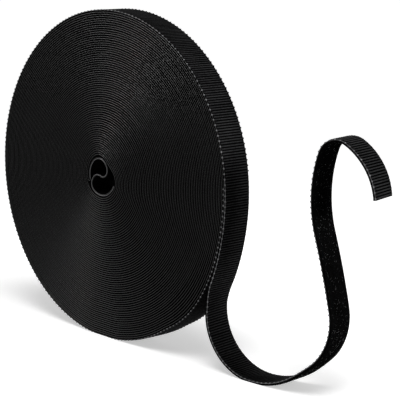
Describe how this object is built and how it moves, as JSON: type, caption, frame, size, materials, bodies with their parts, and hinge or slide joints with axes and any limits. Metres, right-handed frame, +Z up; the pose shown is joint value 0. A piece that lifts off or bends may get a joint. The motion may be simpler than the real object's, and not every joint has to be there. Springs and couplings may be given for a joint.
{
  "type": "hook and loop tape roll",
  "caption": "Coreless roll of black back-to-back hook and loop tape standing on its rim, with its free end drawn off, touching the floor, rising and curling over at the tip.",
  "frame": {"origin": "middle of the flat foot where the roll stands, half way across the tape", "axes": "+X from the roll towards its free end, +Y along the roll's axis to the back, +Z up"},
  "size_m": [0.3086, 0.0325, 0.2073],
  "materials": {
    "hook_cloth": "black woven nylon with rows of hooks",
    "loop_cloth": "black knitted nylon with brushed loops",
    "tape_edge": "slit edges of the wound tape"
  },
  "bodies": {
    "roll": {"hook_winding": "hook_cloth", "loop_winding": "loop_cloth", "packed_turns": "tape_edge", "core_hook_end": "hook_cloth", "core_loop_end": "loop_cloth"},
    "tail_drop": {"tail_drop_hook": "hook_cloth", "tail_drop_loop": "loop_cloth"},
    "tail_rise": {"tail_rise_hook": "hook_cloth", "tail_rise_loop": "loop_cloth"},
    "tail_tip": {"tail_tip_hook": "hook_cloth", "tail_tip_loop": "loop_cloth"}
  },
  "joints": [
    {"name": "tail_peel", "type": "hinge", "parent": "roll", "child": "tail_drop", "pos_m": [0.10415, 0, 0.11775], "axis": [0, -1, 0], "range_deg": [0, 35]},
    {"name": "floor_bend", "type": "hinge", "parent": "tail_drop", "child": "tail_rise", "pos_m": [0.12543, 0.00303, 0.00053], "axis": [0.0698, -0.9976, 0], "range_deg": [-15, 12], "stiffness_Nm_per_rad": 0.006, "springref_deg": 7.16},
    {"name": "tip_curl", "type": "hinge", "parent": "tail_rise", "child": "tail_tip", "pos_m": [0.18356, 0.00885, 0.1477], "axis": [0.1736, -0.9848, 0], "range_deg": [-25, 30], "stiffness_Nm_per_rad": 0.002, "springref_deg": 1.15}
  ]
}
